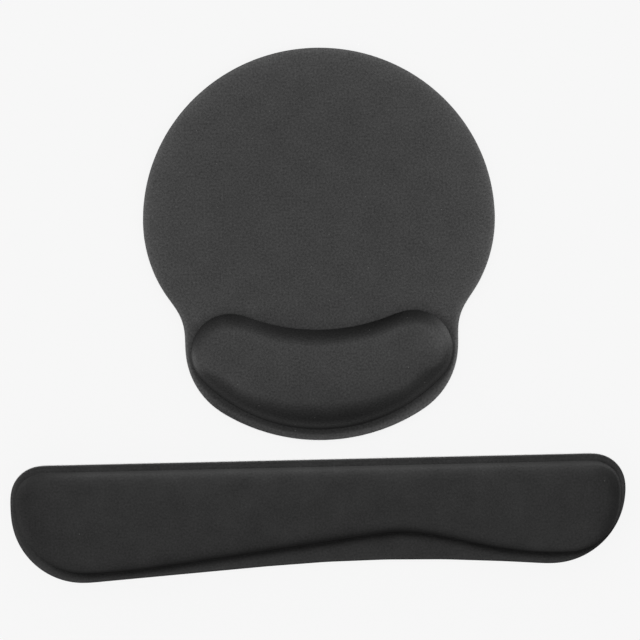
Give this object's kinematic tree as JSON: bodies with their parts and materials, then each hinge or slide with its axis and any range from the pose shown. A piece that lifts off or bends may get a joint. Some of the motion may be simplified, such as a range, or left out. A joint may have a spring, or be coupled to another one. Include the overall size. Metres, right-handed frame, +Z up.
{
  "type": "wrist rest set",
  "caption": "Wrist rest set in dark knit cloth: a long keyboard rest with a wavy front edge, and a loose round mouse pad with a bean-shaped foam wrist cushion on its front lobe.",
  "frame": {"origin": "on the desk, under the middle of the box round the whole set", "axes": "+X to the user's right along the keyboard rest, +Y away from the user, +Z up"},
  "size_m": [0.4314, 0.3712, 0.0229],
  "materials": {
    "keyboard_cloth": "fine dark grey stretch knit, matte",
    "mouse_cloth": "fine dark grey stretch knit, matte",
    "foam": "slow-recovery polyurethane foam, open skin",
    "sponge": "black closed-cell sponge sheet",
    "adhesive_film": "hot-melt adhesive film",
    "base_rubber": "black non-slip rubber, matte, finely textured underside"
  },
  "bodies": {
    "keyboard_rest": {"keyboard_rest_base": "base_rubber", "keyboard_rest_film": "adhesive_film", "keyboard_rest_foam": "foam", "keyboard_rest_cover": "keyboard_cloth"},
    "mouse_rest": {"mouse_pad_base": "base_rubber", "mouse_pad_lower_film": "adhesive_film", "mouse_pad_sponge": "sponge", "mouse_pad_upper_film": "adhesive_film", "mouse_rest_foam": "foam", "mouse_rest_cover": "mouse_cloth"}
  },
  "joints": [
    {"name": "mouse_rest_slide", "type": "slide", "parent": "keyboard_rest", "child": "mouse_rest", "axis": [1, 0, 0], "range_m": [-0.4, 0.4]}
  ]
}
